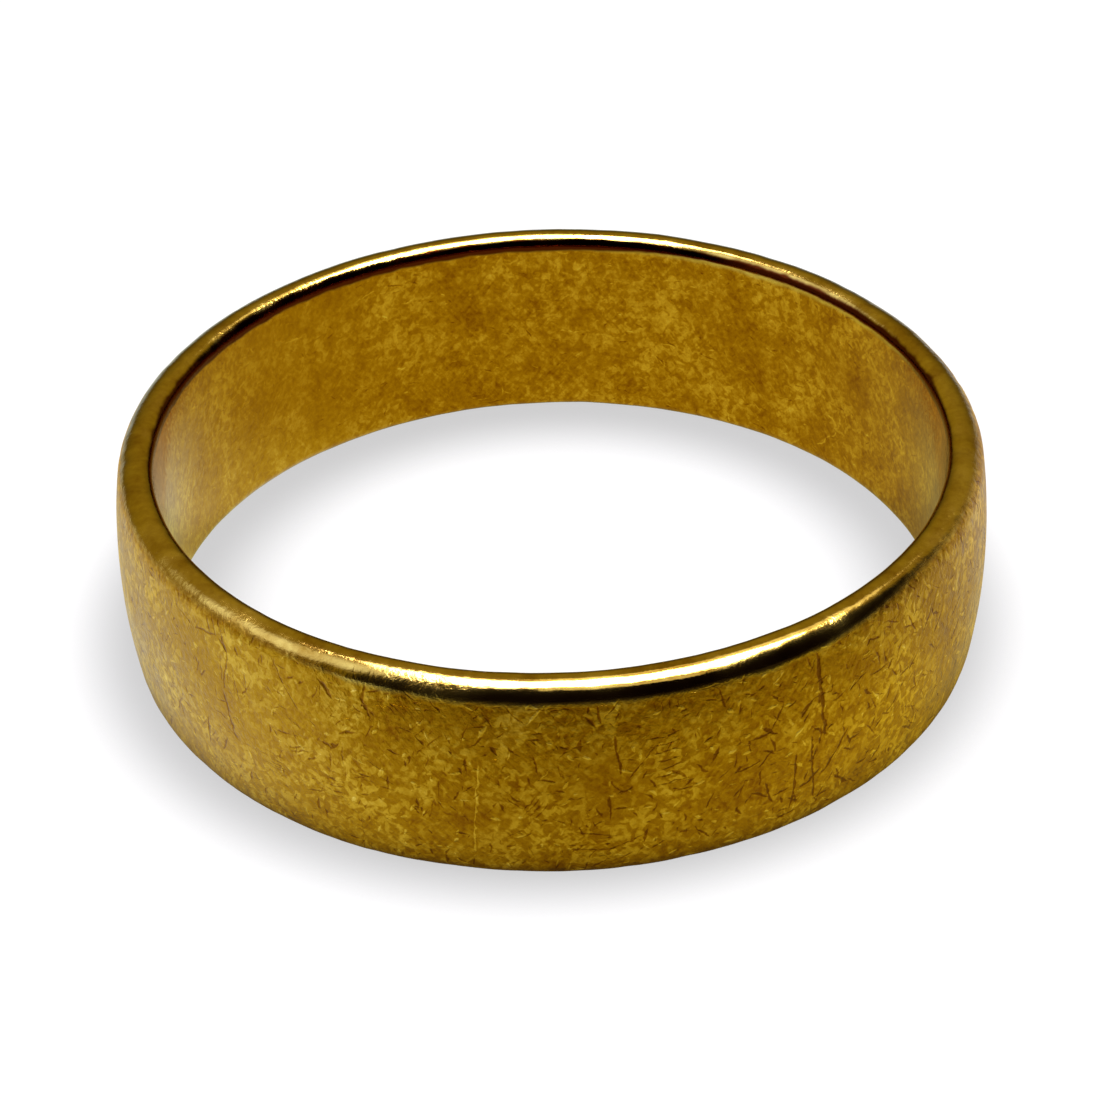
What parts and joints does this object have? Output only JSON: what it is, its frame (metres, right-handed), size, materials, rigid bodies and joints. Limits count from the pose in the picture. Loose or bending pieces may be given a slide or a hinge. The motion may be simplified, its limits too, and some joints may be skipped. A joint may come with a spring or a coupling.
{
  "type": "wedding band",
  "caption": "Plain seamless metal finger ring with a gently crowned outer face, rounded edges and a straight bore.",
  "frame": {"origin": "centre of the finger bore, halfway between the rims", "axes": "+Z along the finger axis; the ring is round, so +X and +Y are any two directions square to it"},
  "size_m": [0.0238, 0.0238, 0.006],
  "materials": {
    "gold": "yellow gold: polished rounded edges, satin faces with fine wear scratches"
  },
  "bodies": {
    "root": {"band": "gold"}
  },
  "joints": []
}
